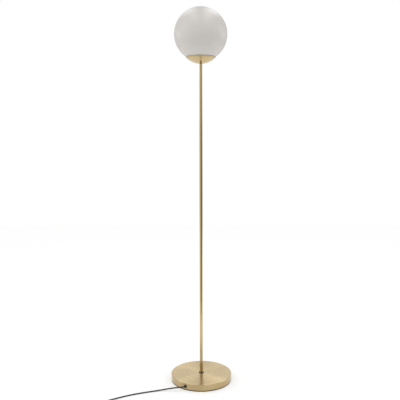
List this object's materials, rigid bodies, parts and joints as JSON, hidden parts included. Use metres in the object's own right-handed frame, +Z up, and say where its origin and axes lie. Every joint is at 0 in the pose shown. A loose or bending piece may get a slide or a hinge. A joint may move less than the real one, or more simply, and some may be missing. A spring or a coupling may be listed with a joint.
{
  "type": "globe floor lamp",
  "caption": "Floor lamp with an opal glass ball in a shallow brass cup on a slim brass pole and round weighted base, with cord, foot switch and plug.",
  "frame": {"origin": "centre of the base's underside, on the floor", "axes": "+Z up along the pole; -Y is the front, which the picture looks at; the cord leaves the base towards -X and -Y"},
  "size_m": [0.4803, 0.4619, 1.444],
  "materials": {
    "brass": "brushed, clear lacquered",
    "opal_glass": "opal white, satin etched",
    "black_rubber": "matt",
    "clear_gasket": "soft, milky",
    "zinc_steel": "zinc plated",
    "spring_steel": "tempered",
    "black_plastic": "satin",
    "white_plastic": "satin",
    "ceramic_white": "heat-proof, matt",
    "bare_brass": "plain",
    "bulb_diffuser": "frosted",
    "board": "white coated",
    "bulb_cap_metal": "plain",
    "black_glass": "glassy",
    "cast_iron": "rough",
    "collar_bronze": "dark patina",
    "plate_steel": "black lacquer",
    "foam": "closed-cell foam",
    "cord_black": "soft PVC",
    "core_brown": "soft PVC",
    "core_blue": "soft PVC"
  },
  "bodies": {
    "lamp": {"globe_gasket": "clear_gasket", "globe_cup": "brass", "globe_spring_clip": "spring_steel", "cup_nipple": "zinc_steel", "nipple_nuts": "zinc_steel", "nipple_lock_washers": "zinc_steel", "lampholder_cap": "black_plastic", "lampholder_grub_screw": "zinc_steel", "lampholder_body": "black_plastic", "lampholder_insert": "ceramic_white", "lampholder_terminal_screws": "zinc_steel", "lampholder_screw_shell": "bare_brass", "lampholder_centre_contact": "bare_brass", "pole_top_section": "brass", "pole_middle_section": "brass", "pole_bottom_section": "brass", "pole_couplers": "zinc_steel", "pole_collar": "collar_bronze", "base_cover": "brass", "base_weight": "cast_iron", "base_nipple": "zinc_steel", "base_washer": "zinc_steel", "base_plate": "plate_steel", "base_plate_screws": "zinc_steel", "base_pad": "foam", "cord_grommet": "black_rubber", "cord_clamp": "black_plastic", "cord_clamp_screws": "zinc_steel", "inner_cable": "cord_black", "brown_wire": "core_brown", "blue_wire": "core_blue", "cord_lamp_side": "cord_black", "cord_plug_side": "cord_black", "cord_coil": "cord_black", "cord_plug_end": "cord_black", "switch_lower_housing": "black_plastic", "switch_upper_housing": "black_plastic", "switch_housing_screws": "zinc_steel", "switch_spring": "spring_steel", "switch_fixed_contacts": "bare_brass", "switch_terminal_screws": "zinc_steel", "switch_live_wires": "core_brown", "switch_neutral_wire": "core_blue", "switch_cord_sleeves": "black_rubber", "plug_body": "black_plastic", "plug_pins": "bare_brass", "plug_pin_sleeves": "black_plastic", "plug_strain_relief": "black_rubber"},
    "globe": {"glass_globe": "opal_glass"},
    "bulb": {"bulb_dome": "bulb_diffuser", "bulb_collar": "white_plastic", "bulb_led_board": "board", "bulb_screw_cap": "bulb_cap_metal", "bulb_insulator": "black_glass", "bulb_tip_contact": "bulb_cap_metal"},
    "button": {"switch_button": "black_plastic", "switch_contact_bridge": "bare_brass"}
  },
  "joints": [
    {"name": "globe_lift", "type": "slide", "parent": "lamp", "child": "globe", "axis": [0, 0, 1], "range_m": [0, 0.14]},
    {"name": "bulb_removal", "type": "slide", "parent": "lamp", "child": "bulb", "axis": [0, 0, 1], "range_m": [0, 0.028]},
    {"name": "switch_press", "type": "slide", "parent": "lamp", "child": "button", "axis": [0, 0, -1], "range_m": [0, 0.003], "stiffness_N_per_m": 400, "springref_m": -0.004, "deforming": ["switch_spring"]}
  ]
}
